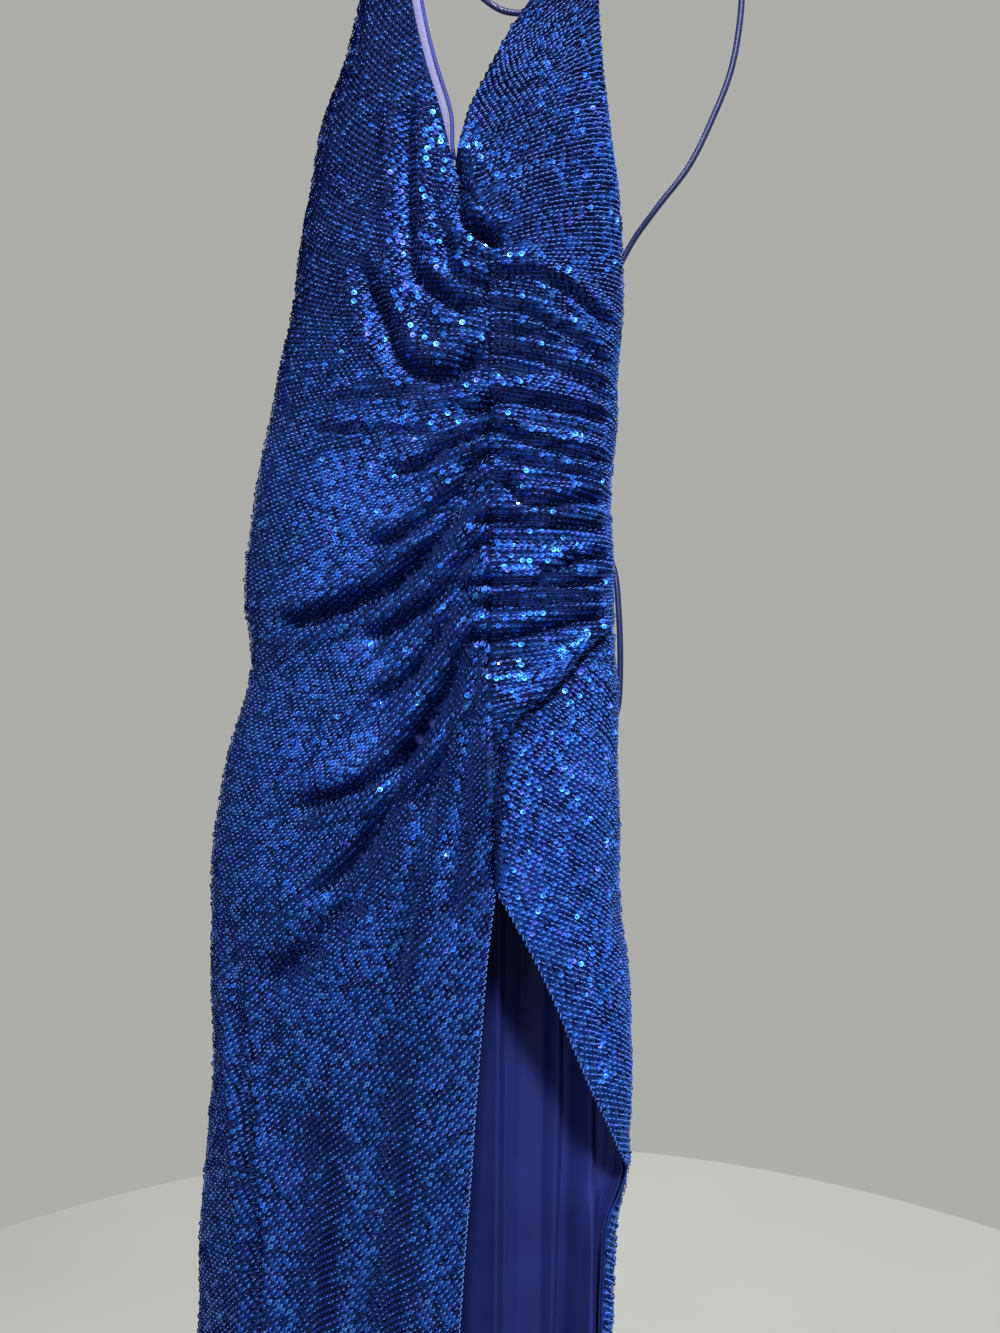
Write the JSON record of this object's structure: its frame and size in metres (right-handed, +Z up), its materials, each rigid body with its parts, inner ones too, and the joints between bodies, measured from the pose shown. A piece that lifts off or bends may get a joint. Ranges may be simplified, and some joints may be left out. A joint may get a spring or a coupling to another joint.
{
  "type": "evening gown",
  "caption": "Long slim sequinned stretch gown with a V neck, gathered centre seam, swept front slit, navy lining and a laced open back, hung empty by its shoulder cords.",
  "frame": {"origin": "the height of the hanger arms' top, where the shoulder cords lie over them, on the hanger's centre line", "axes": "+Z up along the hanging gown, -Y out of the front, +X to the viewer's right"},
  "size_m": [0.3855, 0.1396, 1.449],
  "materials": {
    "sequin_knit": "royal blue stretch mesh covered in small flat metallic ring sequins",
    "lining_knit": "smooth navy stretch lining with a soft sheen",
    "cord_satin": "navy stretch rouleau and binding",
    "pale_tape": "pale lilac-grey facing tape",
    "foam": "fabric-faced foam cup",
    "elastic": "narrow ribbed elastic",
    "zip_nylon": "dyed nylon zip tape and teeth",
    "dark_metal": "navy enamelled zinc",
    "label_satin": "blank white satin ribbon"
  },
  "bodies": {
    "gown": {"armhole_binding_left": "cord_satin", "armhole_binding_right": "cord_satin", "back_binding_left": "cord_satin", "back_binding_right": "cord_satin", "back_eye": "dark_metal", "back_hook": "dark_metal", "back_left_lining": "lining_knit", "back_left_panel": "sequin_knit", "back_right_lining": "lining_knit", "back_right_panel": "sequin_knit", "bow_loop_left": "cord_satin", "bow_loop_right": "cord_satin", "bust_cup_left": "foam", "bust_cup_right": "foam", "care_label": "label_satin", "cord_tail_left": "cord_satin", "cord_tail_right": "cord_satin", "front_left_lining": "lining_knit", "front_left_panel": "sequin_knit", "front_right_lining": "lining_knit", "front_right_panel": "sequin_knit", "lacing_knot": "cord_satin", "lacing_loop_left_1": "cord_satin", "lacing_loop_left_2": "cord_satin", "lacing_loop_left_3": "cord_satin", "lacing_loop_right_1": "cord_satin", "lacing_loop_right_2": "cord_satin", "lacing_loop_right_3": "cord_satin", "neck_binding_left": "cord_satin", "neck_binding_right": "cord_satin", "neck_facing_left": "pale_tape", "neck_facing_right": "pale_tape", "ruching_elastic": "elastic", "strap_cord_left": "cord_satin", "strap_cord_right": "cord_satin", "tail_knot_left": "cord_satin", "tail_knot_right": "cord_satin", "zip_bottom_stop": "dark_metal", "zip_tape_left": "zip_nylon", "zip_tape_right": "zip_nylon", "zip_teeth_left": "zip_nylon", "zip_teeth_right": "zip_nylon", "zip_top_stop_left": "dark_metal", "zip_top_stop_right": "dark_metal"},
    "slider": {"zip_slider": "dark_metal"},
    "pull_tab": {"zip_pull_tab": "dark_metal"}
  },
  "joints": [
    {"name": "zip_slide", "type": "slide", "parent": "gown", "child": "slider", "axis": [0, 0, 1], "range_m": [-0.17, 0]},
    {"name": "pull_tab_swing", "type": "hinge", "parent": "slider", "child": "pull_tab", "pos_m": [-0.048, 0.0485, -0.5073], "axis": [1, 0, 0], "range_deg": [0, 165]}
  ]
}
